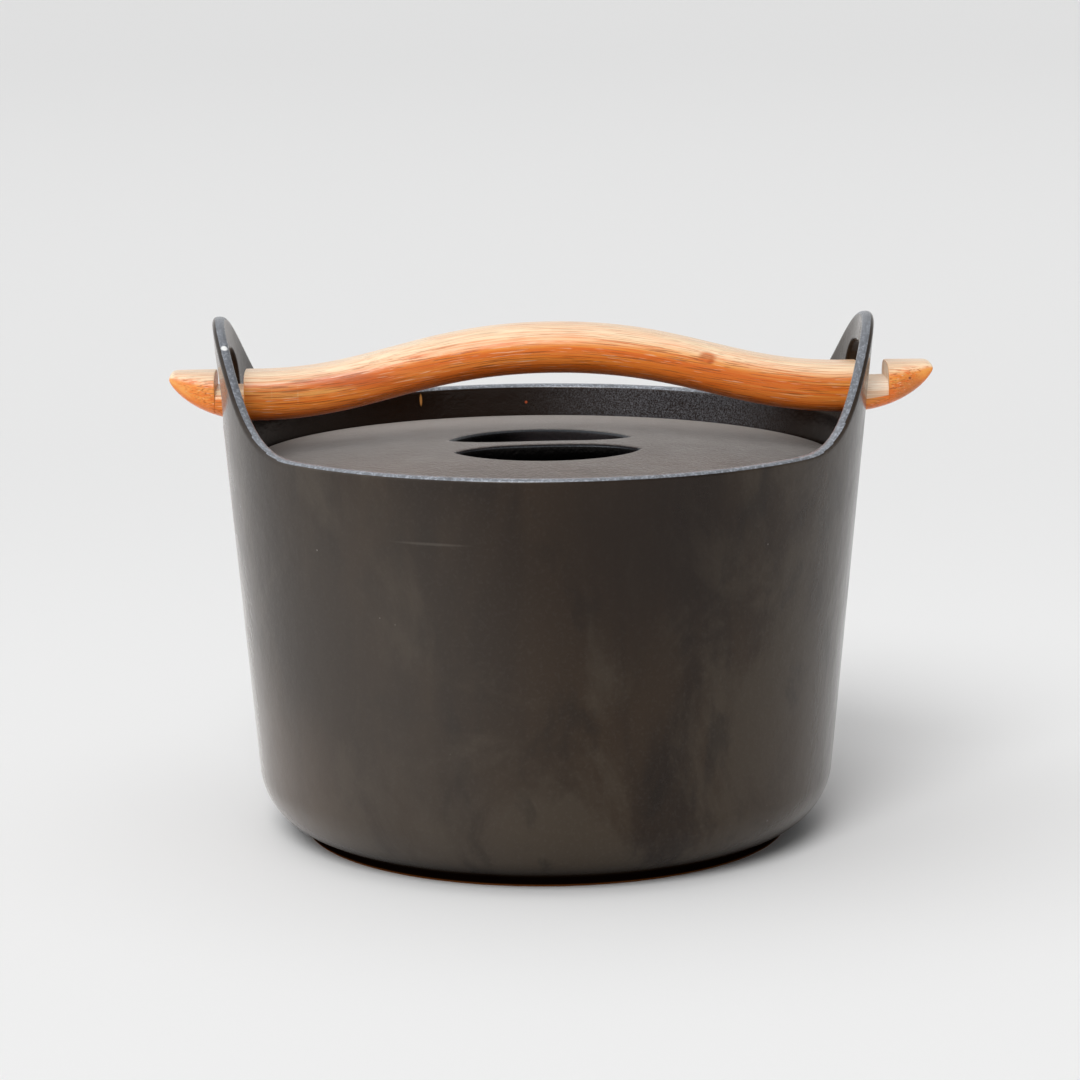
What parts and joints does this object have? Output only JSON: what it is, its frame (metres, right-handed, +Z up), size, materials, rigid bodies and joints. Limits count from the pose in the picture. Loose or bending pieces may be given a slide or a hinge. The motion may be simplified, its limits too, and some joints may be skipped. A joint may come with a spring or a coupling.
{
  "type": "casserole pot",
  "caption": "Tapered cast iron pot with pierced ears, a recessed lid with a bridged grip well, and a bowed wooden handle that lies in the ears for carrying.",
  "frame": {"origin": "middle of the foot, on the ground", "axes": "+X along the handle towards the end that lies further out, +Y to the back, +Z up"},
  "size_m": [0.245, 0.2058, 0.1678],
  "materials": {
    "pot_iron": "matt, seasoned, faintly cloudy",
    "lid_iron": "matt, seasoned, fine cast grain",
    "handle_wood": "oiled, satin, grain along its length"
  },
  "bodies": {
    "pot": {"pot": "pot_iron"},
    "lid": {"lid": "lid_iron"},
    "handle": {"handle": "handle_wood"}
  },
  "joints": [
    {"name": "lid_lift", "type": "slide", "parent": "pot", "child": "lid", "axis": [0, 0, 1], "range_m": [0, 0.0125]},
    {"name": "handle_lift", "type": "slide", "parent": "pot", "child": "handle", "axis": [-0.23, 0, 0.9732], "range_m": [0, 0.0113]}
  ]
}
